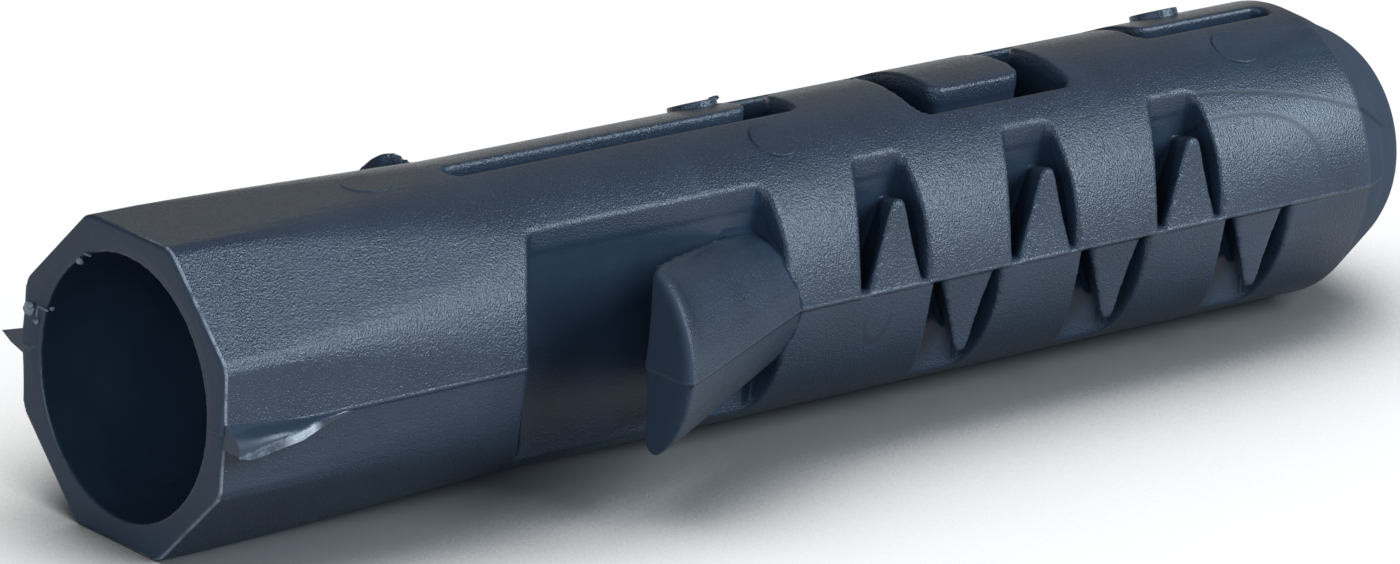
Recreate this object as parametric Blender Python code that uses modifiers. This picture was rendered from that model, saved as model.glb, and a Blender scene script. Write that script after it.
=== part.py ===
"""Nylon wall plug, 8 mm by 40 mm, injection moulded in one piece.

The plug lies on its side with its wings level, mouth towards -X and nose towards +X. The origin is
on the ground under the middle of its length. Inside the script every shape is drawn round the
plug's own axis: x runs from the mouth face to the nose, y to the far side and z up. The mould parts
on the plane z = 0 and opens up and down, so each pocket, slit and recess is a plan outline cut
straight through in z.
"""

import math

import bmesh
import bpy
from mathutils import Vector

# Body: driving dimensions in metres
BODY_DIAMETER = 0.0077
PLUG_LENGTH = 0.0400

# Mouth: an octagon whose corners fade into the round body
MOUTH_SIDES = 8
COLLAR_LENGTH = 0.0098
COLLAR_FADE_POWER = 1.15

# Nose: a cone, a rounded edge and a shallow dome
NOSE_LENGTH = 0.0028
NOSE_CONE_LENGTH = 0.0018
NOSE_END_DIAMETER = 0.0060
NOSE_EDGE_RADIUS = 0.0011
NOSE_DOME_SHARES = (0.7, 0.35)

# Screw bore: a tapered neck, a throat and a narrow channel that spreads the halves
BORE_MOUTH_DIAMETER = 0.00646
BORE_NECK_DIAMETER = 0.0058
BORE_NECK_LENGTH = 0.0062
THROAT_LENGTH = 0.0030
CHANNEL_START_DIAMETER = 0.0031
CHANNEL_END_DIAMETER = 0.0026
TIP_THICKNESS = 0.0044
CHANNEL_END_CONE = 0.0010

# Split line: it wanders to and fro, so that each half has tongues that reach into the other
SLIT_START = 0.0093
SLIT_TO_NOSE = 0.0005
SLIT_FLOOR_HEIGHT = 0.0004
FRONT_SLIT_LENGTH = 0.00425
TONGUE_LENGTH = 0.0030
LAST_TONGUE_LENGTH = 0.0034
TONGUE_TIP_GAP = 0.0011
LAST_TIP_GAP = 0.0005
SPLIT_GAP = 0.00065
TONGUE_SIDE_GAP = 0.00075
LONG_TONGUE_EDGE = -0.00052
MIDDLE_TONGUE_EDGE = -0.00165
FRONT_TONGUE_EDGE = -0.00046
BACK_REACH = 0.00100
TONGUE_CORNER_RADIUS = 0.0004

# Wing recess on each side, and the wing that springs from its nose end; its tip is a lip bent outwards
RECESS_DEPTH = 0.00133
RECESS_START = 0.00905
RECESS_SLANT = 0.00093
RECESS_END = 0.01745
WING_TIP_X = 0.01167
WING_SPREAD = 0.00682
WING_THICKNESS = 0.00155
WING_SLOPE_DEGREES = 26.3
WING_TIP_RISE = 0.00247
WING_TIP_DROP = 0.00222
WING_ROOT_RISE = 0.00158
WING_ROOT_DROP = 0.00170
WING_LOWER_RADIUS = 0.00036
WING_ROOT_DEPTH = 0.0006
WING_EDGE_RADIUS = 0.00022
WING_LIP_LENGTH = 0.00044
WING_LIP_RUN = 0.00032
WING_NECK_SWELL = 0.00040
WING_NECK_RISE = 0.00222

# Barb pockets above and below the parting plane on each side, as many as fit between recess and nose
POCKET_PITCH = 0.0050
RECESS_TO_POCKET = 0.00217
POCKET_TO_NOSE = 0.00277
POCKET_DEPTH = 0.00146
POCKET_LENGTH = 0.00238
POCKET_SLANT = 0.00080
POCKET_CORNER_RADIUS = 0.00025
POCKET_STAGGER = 0.00005

# Barbs: a leaning wedge in each pocket, its base on the parting plane
BARB_BASE_LENGTH = 0.00164
BARB_TIP_LENGTH = 0.00034
BARB_HEIGHT = 0.00222
LOWER_BARB_HEIGHT = 0.00215
BARB_INNER_HEIGHT_SHARE = 0.78
BARB_TO_WALL = 0.00036
BARB_LEAN = 0.00020
BARB_EDGE_RADIUS = 0.00008
SOFT_EDGE_DEGREES = 40

# How finely round forms are cut
ROUND_POINTS = 96
COLLAR_RINGS = 7
BORE_STEPS = 48
CORNER_POINTS = 4
CORNER_SIDE_SHARE = 0.45
CROWN_POINTS = 6
WING_EDGE_STEPS = 3
WING_LIP_STEPS = 4
SHARP_EDGE_DEGREES = 30

# How far cutters pass the surface they cut, and how far added forms sink into the body
CUT_MARGIN = 0.0010
EMBED_DEPTH = 0.0003
MERGE_DISTANCE = 0.00001

NYLON_COLOUR = (0.031, 0.046, 0.078, 1.0)
NYLON_ROUGHNESS = 0.45

# Worked out from the sizes above
BODY_RADIUS = BODY_DIAMETER / 2
NOSE_START = PLUG_LENGTH - NOSE_LENGTH
RECESS_FLOOR = BODY_RADIUS - RECESS_DEPTH
POCKET_FLOOR = BODY_RADIUS - POCKET_DEPTH
POCKET_PAIR_LENGTH = 2 * POCKET_LENGTH + POCKET_STAGGER
POCKETS_END = NOSE_START - POCKET_TO_NOSE
POCKETS_ROOM = POCKETS_END - RECESS_END - RECESS_TO_POCKET
POCKET_COUNT = 1 + math.floor((POCKETS_ROOM - POCKET_PAIR_LENGTH + MERGE_DISTANCE) / POCKET_PITCH)


def clear_scene():
    for obj in list(bpy.data.objects):
        bpy.data.objects.remove(obj, do_unlink=True)


def make_collection(name, hidden=False):
    collection = bpy.data.collections.new(name)
    bpy.context.scene.collection.children.link(collection)
    collection.hide_render = hidden
    return collection


def nylon_material():
    material = bpy.data.materials.new("dark_nylon")
    material.use_nodes = True
    shader = material.node_tree.nodes["Principled BSDF"]
    shader.inputs["Base Color"].default_value = NYLON_COLOUR
    shader.inputs["Roughness"].default_value = NYLON_ROUGHNESS
    shader.inputs["Metallic"].default_value = 0.0
    material.diffuse_color = NYLON_COLOUR
    return material


def place(obj, collection, axis, is_tool=False):
    """Puts an object on the plug's axis, as a visible part or as a hidden tool."""
    collection.objects.link(obj)
    obj.parent = axis
    if is_tool:
        obj.hide_render = True
        obj.display_type = "WIRE"
    return obj


def octagon_radius(angle, flat_distance, corner_radius):
    """Distance from the centre to a rounded octagon's edge, at an angle from the middle of a flat."""
    half_side = math.pi / MOUTH_SIDES
    off_flat = (angle + half_side) % (2 * half_side) - half_side
    corner_inset = flat_distance - corner_radius
    if abs(math.tan(off_flat)) * flat_distance <= corner_inset * math.tan(half_side):
        return flat_distance / math.cos(off_flat)
    corner_centre = corner_inset / math.cos(half_side)
    off_corner = half_side - abs(off_flat)
    half_chord_squared = corner_radius**2 - (corner_centre * math.sin(off_corner)) ** 2
    return corner_centre * math.cos(off_corner) + math.sqrt(max(half_chord_squared, 0.0))


def section_ring(x, radius_at):
    ring = []
    for step in range(ROUND_POINTS):
        angle = 2 * math.pi * (step + 0.5) / ROUND_POINTS
        radius = radius_at(angle)
        ring.append(Vector((x, radius * math.cos(angle), radius * math.sin(angle))))
    return ring


def collar_rings():
    rings = []
    for step in range(COLLAR_RINGS + 1):
        x = COLLAR_LENGTH * step / COLLAR_RINGS
        corner = BODY_RADIUS * (step / COLLAR_RINGS) ** COLLAR_FADE_POWER
        rings.append(section_ring(x, lambda angle, r=corner: octagon_radius(angle, BODY_RADIUS, r)))
    return rings


def nose_profile():
    """Points (x, radius) from the end of the round body over the nose to near the axis."""
    cone_end = NOSE_START + NOSE_CONE_LENGTH
    end_radius = NOSE_END_DIAMETER / 2
    points = [(NOSE_START, BODY_RADIUS), (cone_end, end_radius)]
    cone_turn = math.atan2(BODY_RADIUS - end_radius, NOSE_CONE_LENGTH)
    for step in range(1, CORNER_POINTS + 1):
        turn = cone_turn + (math.pi / 2 - cone_turn) * step / CORNER_POINTS
        onward = NOSE_EDGE_RADIUS * (math.sin(turn) - math.sin(cone_turn))
        inset = NOSE_EDGE_RADIUS * (math.cos(cone_turn) - math.cos(turn))
        points.append((cone_end + onward, end_radius - inset))
    dome_start, dome_radius = points[-1]
    dome_height = PLUG_LENGTH - dome_start
    for share in NOSE_DOME_SHARES:
        points.append((dome_start + dome_height * (1 - share**2), dome_radius * share))
    return points


def loft(name, rings, end_point=None):
    """Skins rings of equal length into a closed body, with a flat cap or a point at the far end."""
    mesh = bpy.data.meshes.new(name)
    build = bmesh.new()
    loops = [[build.verts.new(point) for point in ring] for ring in rings]
    for near, far in zip(loops, loops[1:]):
        for index in range(len(near)):
            following = (index + 1) % len(near)
            build.faces.new((near[index], near[following], far[following], far[index]))
    build.faces.new(loops[0])
    if end_point is None:
        build.faces.new(loops[-1])
    else:
        tip = build.verts.new(end_point)
        for index, vert in enumerate(loops[-1]):
            build.faces.new((vert, loops[-1][(index + 1) % len(loops[-1])], tip))
    bmesh.ops.recalc_face_normals(build, faces=build.faces)
    build.to_mesh(mesh)
    build.free()
    return bpy.data.objects.new(name, mesh)


def plug_body():
    rings = collar_rings()
    for x, radius in nose_profile():
        rings.append(section_ring(x, lambda angle, r=radius: r))
    return loft("wall_plug", rings, Vector((PLUG_LENGTH, 0.0, 0.0)))


def bore_cutter():
    """The turned hollow: its profile runs from the deep end out past the mouth, then turns to x."""
    neck_taper = (BORE_MOUTH_DIAMETER - BORE_NECK_DIAMETER) / BORE_NECK_LENGTH
    outside = BORE_MOUTH_DIAMETER + neck_taper * CUT_MARGIN
    channel_end = PLUG_LENGTH - TIP_THICKNESS
    profile = [
        (0.0, channel_end),
        (CHANNEL_END_DIAMETER / 2, channel_end - CHANNEL_END_CONE),
        (CHANNEL_START_DIAMETER / 2, BORE_NECK_LENGTH + THROAT_LENGTH),
        (BORE_NECK_DIAMETER / 2, BORE_NECK_LENGTH),
        (outside / 2, -CUT_MARGIN),
        (0.0, -CUT_MARGIN),
    ]
    mesh = bpy.data.meshes.new("bore_cutter")
    edges = [(index, index + 1) for index in range(len(profile) - 1)]
    mesh.from_pydata([(radius, 0.0, height) for radius, height in profile], edges, [])
    cutter = bpy.data.objects.new("bore_cutter", mesh)
    screw = cutter.modifiers.new("turn", "SCREW")
    screw.steps = BORE_STEPS
    screw.render_steps = BORE_STEPS
    screw.use_merge_vertices = True
    screw.merge_threshold = MERGE_DISTANCE
    cutter.rotation_euler = (0.0, math.pi / 2, 0.0)
    return cutter


def rounded_outline(corners):
    """Turns corners (a, b, radius) into a closed outline with an arc at each corner that has a radius."""
    outline = []
    for index, (a, b, radius) in enumerate(corners):
        corner = Vector((a, b))
        if radius == 0.0:
            outline.append(corner)
            continue
        before = Vector(corners[index - 1][:2]) - corner
        after = Vector(corners[(index + 1) % len(corners)][:2]) - corner
        half_angle = before.angle(after) / 2
        longest_tangent = CORNER_SIDE_SHARE * min(before.length, after.length)
        tangent = min(radius / math.tan(half_angle), longest_tangent)
        bisector = (before.normalized() + after.normalized()).normalized()
        centre = corner + bisector * tangent / math.cos(half_angle)
        start = corner + before.normalized() * tangent - centre
        end = corner + after.normalized() * tangent - centre
        sweep = start.angle_signed(end)
        for step in range(CORNER_POINTS + 1):
            turn = -sweep * step / CORNER_POINTS
            spoke = Vector(
                (
                    start.x * math.cos(turn) - start.y * math.sin(turn),
                    start.x * math.sin(turn) + start.y * math.cos(turn),
                )
            )
            outline.append(centre + spoke)
    return outline


def outline_prism(name, outline, low, high):
    """A flat outline, drawn as a filled curve, given thickness from low to high and made a mesh."""
    curve = bpy.data.curves.new(name, "CURVE")
    curve.dimensions = "2D"
    curve.fill_mode = "BOTH"
    curve.extrude = (high - low) / 2
    spline = curve.splines.new("POLY")
    spline.points.add(len(outline) - 1)
    for point, place_in_plane in zip(spline.points, outline):
        point.co = (place_in_plane[0], place_in_plane[1], 0.0, 1.0)
    spline.use_cyclic_u = True
    drawn = bpy.data.objects.new(name, curve)
    bpy.context.scene.collection.objects.link(drawn)
    evaluated = drawn.evaluated_get(bpy.context.evaluated_depsgraph_get())
    mesh = bpy.data.meshes.new_from_object(evaluated)
    mesh.name = name
    bpy.data.objects.remove(drawn, do_unlink=True)
    bpy.data.curves.remove(curve)
    build = bmesh.new()
    build.from_mesh(mesh)
    bmesh.ops.remove_doubles(build, verts=build.verts, dist=MERGE_DISTANCE)
    bmesh.ops.translate(build, verts=build.verts, vec=(0.0, 0.0, (low + high) / 2))
    bmesh.ops.recalc_face_normals(build, faces=build.faces)
    build.to_mesh(mesh)
    build.free()
    return bpy.data.objects.new(name, mesh)


def split_outline():
    """The gap between the near half's edge and the far half's edge, seen from above."""
    split_end = NOSE_START - SLIT_TO_NOSE
    front_start = split_end - FRONT_SLIT_LENGTH
    last_end = front_start - LAST_TIP_GAP
    last_start = last_end - LAST_TONGUE_LENGTH
    middle_end = last_start - TONGUE_TIP_GAP
    middle_start = middle_end - TONGUE_LENGTH
    back_end = middle_start - TONGUE_TIP_GAP
    back_start = back_end - TONGUE_LENGTH
    long_end = back_start - TONGUE_TIP_GAP
    far_reach = BACK_REACH + TONGUE_SIDE_GAP
    soft = TONGUE_CORNER_RADIUS
    end_soft = SPLIT_GAP / 2
    near_edge = [
        (SLIT_START, LONG_TONGUE_EDGE, end_soft),
        (back_start, LONG_TONGUE_EDGE, soft),
        (back_start, BACK_REACH, soft),
        (back_end, BACK_REACH, soft),
        (back_end, MIDDLE_TONGUE_EDGE, soft),
        (last_start, MIDDLE_TONGUE_EDGE, soft),
        (last_start, BACK_REACH, soft),
        (last_end, BACK_REACH, soft),
        (last_end, FRONT_TONGUE_EDGE, soft),
        (split_end, FRONT_TONGUE_EDGE, end_soft),
    ]
    far_edge = [
        (SLIT_START, LONG_TONGUE_EDGE + SPLIT_GAP, end_soft),
        (long_end, LONG_TONGUE_EDGE + SPLIT_GAP, soft),
        (long_end, far_reach, soft),
        (middle_start, far_reach, soft),
        (middle_start, MIDDLE_TONGUE_EDGE + TONGUE_SIDE_GAP, soft),
        (middle_end, MIDDLE_TONGUE_EDGE + TONGUE_SIDE_GAP, soft),
        (middle_end, far_reach, soft),
        (front_start, far_reach, soft),
        (front_start, FRONT_TONGUE_EDGE + SPLIT_GAP, soft),
        (split_end, FRONT_TONGUE_EDGE + SPLIT_GAP, end_soft),
    ]
    return rounded_outline(near_edge + far_edge[::-1])


def split_cutters():
    """The split above the axis, and the same split turned half a turn for the underside."""
    top = outline_prism("split_cutter_top", split_outline(), SLIT_FLOOR_HEIGHT, BODY_RADIUS + CUT_MARGIN)
    bottom = bpy.data.objects.new("split_cutter_bottom", top.data)
    bottom.rotation_euler = (math.pi, 0.0, 0.0)
    return [top, bottom]


def side_outline(start, end, floor, slant):
    """Plan outline of a side cut: a slanting wall on the mouth side, a flat floor and an upright wall."""
    outside = BODY_RADIUS + CUT_MARGIN
    flare = CUT_MARGIN / (BODY_RADIUS - floor)
    return rounded_outline(
        [
            (start - slant * flare, -outside, 0.0),
            (start + slant, -floor, POCKET_CORNER_RADIUS),
            (end, -floor, POCKET_CORNER_RADIUS),
            (end, -outside, 0.0),
        ]
    )


def mirror_across(obj):
    mirror = obj.modifiers.new("far side", "MIRROR")
    mirror.use_axis = (False, True, False)
    mirror.merge_threshold = MERGE_DISTANCE
    return obj


def recess_cutter():
    reach = BODY_RADIUS + CUT_MARGIN
    outline = side_outline(RECESS_START, RECESS_END, RECESS_FLOOR, RECESS_SLANT)
    return mirror_across(outline_prism("wing_recess_cutter", outline, -reach, reach))


def pocket_starts():
    """Where each upper pocket begins and ends, and the lower one that stands behind it."""
    places = []
    for index in range(POCKET_COUNT):
        lower_end = POCKETS_END - (POCKET_COUNT - 1 - index) * POCKET_PITCH
        lower_start = lower_end - POCKET_LENGTH
        upper_end = lower_start - POCKET_STAGGER
        places.append((upper_end - POCKET_LENGTH, upper_end, lower_start, lower_end))
    return places


def pocket_cutters():
    top = BODY_RADIUS + CUT_MARGIN
    cutters = []
    for number, (upper_start, upper_end, lower_start, lower_end) in enumerate(pocket_starts(), 1):
        upper = side_outline(upper_start, upper_end, POCKET_FLOOR, POCKET_SLANT)
        lower = side_outline(lower_start, lower_end, POCKET_FLOOR, POCKET_SLANT)
        cutters.append(mirror_across(outline_prism(f"upper_pocket_cutter_{number}", upper, 0.0, top)))
        cutters.append(mirror_across(outline_prism(f"lower_pocket_cutter_{number}", lower, -top, 0.0)))
    return cutters


def barb(name, base_end, height):
    """A wedge standing on the parting plane, leaning in plan as the pocket's slanting wall does.

    The wedge is drawn upright; the caller turns it over for the lower row.
    """
    middle = base_end - BARB_BASE_LENGTH / 2
    half_base = BARB_BASE_LENGTH / 2
    half_tip = BARB_TIP_LENGTH / 2
    outline = rounded_outline(
        [
            (middle - half_base, -EMBED_DEPTH, 0.0),
            (middle + half_base, -EMBED_DEPTH, 0.0),
            (middle + half_base, 0.0, 0.0),
            (middle + half_tip, height, half_tip),
            (middle - half_tip, height, half_tip),
            (middle - half_base, 0.0, 0.0),
        ]
    )
    inner = POCKET_FLOOR - EMBED_DEPTH
    wedge = outline_prism(name, outline, -BODY_RADIUS, -inner)
    shift_per_depth = POCKET_SLANT / POCKET_DEPTH
    for vert in wedge.data.vertices:
        along, upright, across = vert.co
        is_outer = across < -(inner + BODY_RADIUS) / 2
        is_sunk = upright < -EMBED_DEPTH / 2
        if is_outer:
            across += EMBED_DEPTH if is_sunk else BARB_LEAN * upright / height + MERGE_DISTANCE
        elif not is_sunk:
            upright *= BARB_INNER_HEIGHT_SHARE
        along += shift_per_depth * (BODY_RADIUS + across)
        vert.co = (along, across, upright)
    wedge.data.flip_normals()
    edge = wedge.modifiers.new("soft edges", "BEVEL")
    edge.width = BARB_EDGE_RADIUS
    edge.segments = 1
    edge.limit_method = "ANGLE"
    edge.angle_limit = math.radians(SOFT_EDGE_DEGREES)
    return wedge


def barbs():
    forms = []
    for number, (_, upper_end, _, lower_end) in enumerate(pocket_starts(), 1):
        upper = barb(f"upper_barb_{number}", upper_end - BARB_TO_WALL, BARB_HEIGHT)
        lower = barb(f"lower_barb_{number}", lower_end - BARB_TO_WALL, LOWER_BARB_HEIGHT)
        for vert in lower.data.vertices:
            vert.co.z = -vert.co.z
        lower.data.flip_normals()
        forms += [mirror_across(upper), mirror_across(lower)]
    return forms


def crown_arc(thickness, rise):
    """Points (off the flat, along it) of the arc from the flat's edge to the crown's middle."""
    radius = (rise**2 + thickness**2) / (2 * thickness)
    edge_turn = math.acos((radius - thickness) / radius)
    arc = []
    for step in range(CROWN_POINTS + 1):
        turn = edge_turn * (1 - step / CROWN_POINTS)
        arc.append((thickness - radius * (1 - math.cos(turn)), radius * math.sin(turn)))
    return arc


def wing_ring(x, rise, drop, swell=0.0, inset=0.0):
    """The wing's section at x: flat towards the body, crowned outwards and rounded below.

    It swells towards the body, and at the tip an inset rounds its outer edge.
    """
    slope = math.tan(math.radians(WING_SLOPE_DEGREES))
    thickness = WING_THICKNESS + swell
    flat = WING_SPREAD - thickness - slope * (x - WING_TIP_X)
    radius = WING_LOWER_RADIUS + swell
    outline = crown_arc(thickness - inset, rise - inset)
    for off, down in reversed(crown_arc(thickness - radius - inset, drop - inset)[:-1]):
        outline.append((off + radius, -down))
    for step in range(1, CORNER_POINTS + 1):
        turn = math.pi / 2 * step / CORNER_POINTS
        off, up = radius * (1 - math.sin(turn)), radius * (1 - math.cos(turn)) - drop + inset
        outline.append((off, up))
    return [Vector((x, -(flat + off), up)) for off, up in outline]


def wing():
    """The wing, with a rounded tip, a lip that bends away from the body, and its root sunk into it."""
    rings = []
    for step in range(WING_EDGE_STEPS + 1):
        turn = math.pi / 2 * step / WING_EDGE_STEPS
        x = WING_TIP_X + WING_EDGE_RADIUS * (1 - math.sin(turn))
        inset = WING_EDGE_RADIUS * (1 - math.cos(turn))
        rings.insert(0, wing_ring(x, WING_TIP_RISE, WING_TIP_DROP, inset=inset))
    for step in range(WING_LIP_STEPS + 1):
        share = (1 - math.cos(math.pi * step / WING_LIP_STEPS)) / 2
        x = WING_TIP_X + WING_LIP_LENGTH + WING_LIP_RUN * step / WING_LIP_STEPS
        rise = WING_TIP_RISE + (WING_NECK_RISE - WING_TIP_RISE) * share
        rings.append(wing_ring(x, rise, WING_TIP_DROP, WING_NECK_SWELL * share))
    root_x = RECESS_END + WING_ROOT_DEPTH
    rings.append(wing_ring(root_x, WING_ROOT_RISE, WING_ROOT_DROP, WING_NECK_SWELL))
    return mirror_across(loft("wing", rings))


def combine(body, tools, operation):
    for tool in tools:
        boolean = body.modifiers.new(tool.name, "BOOLEAN")
        boolean.operation = operation
        boolean.object = tool
        boolean.solver = "EXACT"


def build_plug():
    clear_scene()
    plug_parts = make_collection("wall plug")
    plug_tools = make_collection("wall plug tools", hidden=True)
    axis = bpy.data.objects.new("plug_axis", None)
    axis.location = (-PLUG_LENGTH / 2, 0.0, BODY_RADIUS)
    plug_parts.objects.link(axis)

    body = place(plug_body(), plug_parts, axis)
    body.data.materials.append(nylon_material())
    cutters = [bore_cutter()] + split_cutters() + [recess_cutter()] + pocket_cutters()
    forms = [wing()] + barbs()
    for tool in cutters + forms:
        place(tool, plug_tools, axis, is_tool=True)
    combine(body, cutters, "DIFFERENCE")
    combine(body, forms, "UNION")
    body.data.shade_smooth()
    body.data.set_sharp_from_angle(angle=math.radians(SHARP_EDGE_DEGREES))
    bpy.context.view_layer.update()


build_plug()
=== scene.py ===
"""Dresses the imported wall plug: its moulded skin, what the mould left on it, and a plain studio.

The plug lies along X with its mouth towards -X, as in the CAD model. Its axis is one body radius
above the ground. Sizes are in metres unless a name or a comment says millimetres: the skin is
worked in millimetres and brought back, because the Remesh modifier takes no cell under a tenth of
a millimetre.
"""

import math

import bmesh
import bpy
from bpy.props import FloatProperty, FloatVectorProperty, IntProperty, PointerProperty
from bpy.types import Operator, Panel, PropertyGroup
from mathutils import Matrix, Vector, noise


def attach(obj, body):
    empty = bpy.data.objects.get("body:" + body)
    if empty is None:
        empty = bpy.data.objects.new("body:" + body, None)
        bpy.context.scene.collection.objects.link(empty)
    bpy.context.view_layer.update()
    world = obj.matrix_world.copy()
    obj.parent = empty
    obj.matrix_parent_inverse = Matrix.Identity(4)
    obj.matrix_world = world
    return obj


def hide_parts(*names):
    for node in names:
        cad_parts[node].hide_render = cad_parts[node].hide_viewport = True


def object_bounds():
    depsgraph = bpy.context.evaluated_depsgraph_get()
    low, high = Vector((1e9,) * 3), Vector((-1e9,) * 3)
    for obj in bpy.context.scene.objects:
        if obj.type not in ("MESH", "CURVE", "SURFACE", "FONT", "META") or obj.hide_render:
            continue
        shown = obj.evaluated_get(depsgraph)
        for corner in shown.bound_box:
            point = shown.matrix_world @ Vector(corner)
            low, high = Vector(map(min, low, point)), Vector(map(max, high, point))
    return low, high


bl_info = {
    "name": "Wall Plug Dresser",
    "version": (1, 0, 0),
    "blender": (4, 5, 0),
    "location": "3D View > Sidebar > Wall Plug",
    "description": "Gives a nylon wall plug its skin, its mould marks, its flash and a studio",
    "category": "Object",
}

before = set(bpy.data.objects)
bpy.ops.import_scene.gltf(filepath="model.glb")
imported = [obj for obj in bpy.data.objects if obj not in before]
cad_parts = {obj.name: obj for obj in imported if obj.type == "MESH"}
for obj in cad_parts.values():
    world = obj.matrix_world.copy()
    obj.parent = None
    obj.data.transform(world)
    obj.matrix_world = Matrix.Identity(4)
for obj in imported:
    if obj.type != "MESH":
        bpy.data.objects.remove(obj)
CAD_BOX = [list(corner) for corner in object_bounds()]
PLUG_NODE = "wall_plug"
BODY = "root"
MM = 0.001
MOUTH_X = CAD_BOX[0][0]
BODY_RADIUS = (CAD_BOX[1][2] - CAD_BOX[0][2]) / 2
AXIS_START = Vector((MOUTH_X, 0.0, BODY_RADIUS))
SKIN_NYLON = "dark nylon"


class WallPlugMoulding(PropertyGroup):
    """What the mould leaves on the plug."""

    cell: FloatProperty(
        name="Skin cell",
        description="Grid size of the skin before it is thinned out, in millimetres",
        default=0.06,
        min=0.04,
    )
    softening: IntProperty(
        name="Softening",
        description="How often the skin is eased, which rounds its edges, the wings' most of all",
        default=6,
        min=0,
    )
    kept_share: FloatProperty(
        name="Kept share",
        description="Share of the skin's triangles that is kept",
        default=0.145,
        subtype="FACTOR",
        min=0.05,
        max=1.0,
    )
    parting_step: FloatProperty(
        name="Parting step",
        description="How far the upper half stands over the lower one at the parting line",
        default=0.03 * MM,
        unit="LENGTH",
    )
    pin_diameter: FloatProperty(
        name="Pin mark diameter",
        description="Diameter of the discs that the ejector pins left",
        default=1.27 * MM,
        unit="LENGTH",
    )
    flash_thickness: FloatProperty(
        name="Flash thickness",
        description="Thickness of the film that squeezed out between the mould halves",
        default=0.07 * MM,
        unit="LENGTH",
    )


class WallPlugNylon(PropertyGroup):
    """Colour and grain of the nylon."""

    colour: FloatVectorProperty(
        name="Nylon",
        description="Colour of the nylon",
        default=(0.017, 0.028, 0.046),
        subtype="COLOR",
        size=3,
        min=0.0,
        max=1.0,
    )
    # Also the colour of the painted highlights on the mouth's rim and the parting ridge
    stress_and_highlight_colour: FloatVectorProperty(
        name="Stressed nylon",
        description="Colour where the nylon whitened as it was bent or torn",
        default=(0.42, 0.43, 0.46),
        subtype="COLOR",
        size=3,
        min=0.0,
        max=1.0,
    )
    roughness: FloatProperty(
        name="Roughness",
        description="Mean roughness of the moulded surface",
        default=0.31,
        subtype="FACTOR",
        min=0.0,
        max=1.0,
    )
    sheen: FloatProperty(
        name="Sheen",
        description="Strength of the reflections, where 0.5 is that of a polished surface",
        default=0.38,
        subtype="FACTOR",
        min=0.0,
        max=1.0,
    )
    grain_size: FloatProperty(
        name="Grain size",
        description="Width of one grain of the spark-eroded texture",
        default=0.050 * MM,
        unit="LENGTH",
    )
    grain_depth: FloatProperty(
        name="Grain depth",
        description="Depth of the spark-eroded texture",
        default=0.026 * MM,
        unit="LENGTH",
    )


class WallPlugStudio(PropertyGroup):
    """Light and floor."""

    key_power: FloatProperty(
        name="Key light",
        description="Power of the lamp above the near side",
        default=3.7,
        unit="POWER",
        min=0.0,
    )
    fill_power: FloatProperty(
        name="Fill light",
        description="Power of the wide lamp beside the camera",
        default=1.9,
        unit="POWER",
        min=0.0,
    )
    bounce_power: FloatProperty(
        name="Warm bounce",
        description="Power of the warm light from behind",
        default=0.12,
        unit="POWER",
        min=0.0,
    )
    world_strength: FloatProperty(
        name="Room light",
        description="Strength of the even light of the room",
        default=0.16,
        min=0.0,
    )
    floor_colour: FloatVectorProperty(
        name="Floor",
        description="Colour of the floor",
        default=(0.13, 0.13, 0.13),
        subtype="COLOR",
        size=3,
        min=0.0,
        max=1.0,
    )
    floor_glow: FloatProperty(
        name="Floor glow",
        description="Brightness added to the floor where the camera or a reflection sees it",
        default=0.93,
        min=0.0,
    )


# Node trees --------------------------------------------------------------------------------------


class Wire:
    """A node's output. Arithmetic on it adds Math nodes to its graph."""

    def __init__(self, graph, socket):
        self.graph = graph
        self.socket = socket

    def out(self, name):
        """Another output of the same node."""
        return Wire(self.graph, find_socket(self.socket.node.outputs, name))

    def math(self, operation, *values, first=None):
        start = self if first is None else first
        inputs = dict(enumerate((start, *values)))
        return self.graph.node("ShaderNodeMath", {"operation": operation}, inputs)

    def __add__(self, other):
        return self.math("ADD", other)

    def __radd__(self, other):
        return self.math("ADD", other)

    def __sub__(self, other):
        return self.math("SUBTRACT", other)

    def __rsub__(self, other):
        return self.math("SUBTRACT", self, first=other)

    def __mul__(self, other):
        return self.math("MULTIPLY", other)

    def __rmul__(self, other):
        return self.math("MULTIPLY", other)

    def __truediv__(self, other):
        return self.math("DIVIDE", other)

    def __pow__(self, other):
        return self.math("POWER", other)

    def __abs__(self):
        return self.math("ABSOLUTE")

    def rise(self, low, high):
        """0 below low and 1 above high, with a soft passage between them."""
        return self.graph.node(
            "ShaderNodeMapRange",
            {"interpolation_type": "SMOOTHSTEP"},
            {"Value": self, "From Min": low, "From Max": high},
        )


def find_socket(sockets, name):
    """A socket by its place, its identifier or else its name."""
    if isinstance(name, int):
        return sockets[name]
    for socket in sockets:
        if socket.identifier == name:
            return socket
    return sockets[name]


class Graph:
    """A node tree as it is being built."""

    def __init__(self, tree):
        self.tree = tree

    def node(self, kind, settings=None, values=None, output=0):
        """Adds a node, makes its settings, then gives its sockets values or links."""
        made = self.tree.nodes.new(kind)
        for name, setting in (settings or {}).items():
            setattr(made, name, setting)
        for name, value in (values or {}).items():
            socket = find_socket(made.inputs, name)
            if isinstance(value, Wire):
                self.tree.links.new(value.socket, socket)
            else:
                socket.default_value = value
        if not made.outputs:
            return None
        return Wire(self, find_socket(made.outputs, output))

    def mix(self, share, first, second):
        """Blends two colours."""
        return self.node(
            "ShaderNodeMix",
            {"data_type": "RGBA"},
            {"Factor_Float": share, "A_Color": opaque(first), "B_Color": opaque(second)},
            "Result_Color",
        )

    def vector(self, operation, *values, output="Vector", scale=None):
        inputs = dict(enumerate(values))
        if scale is not None:
            inputs["Scale"] = scale
        return self.node("ShaderNodeVectorMath", {"operation": operation}, inputs, output)


def opaque(colour):
    return colour if isinstance(colour, Wire) else (*colour[:3], 1.0)


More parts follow.
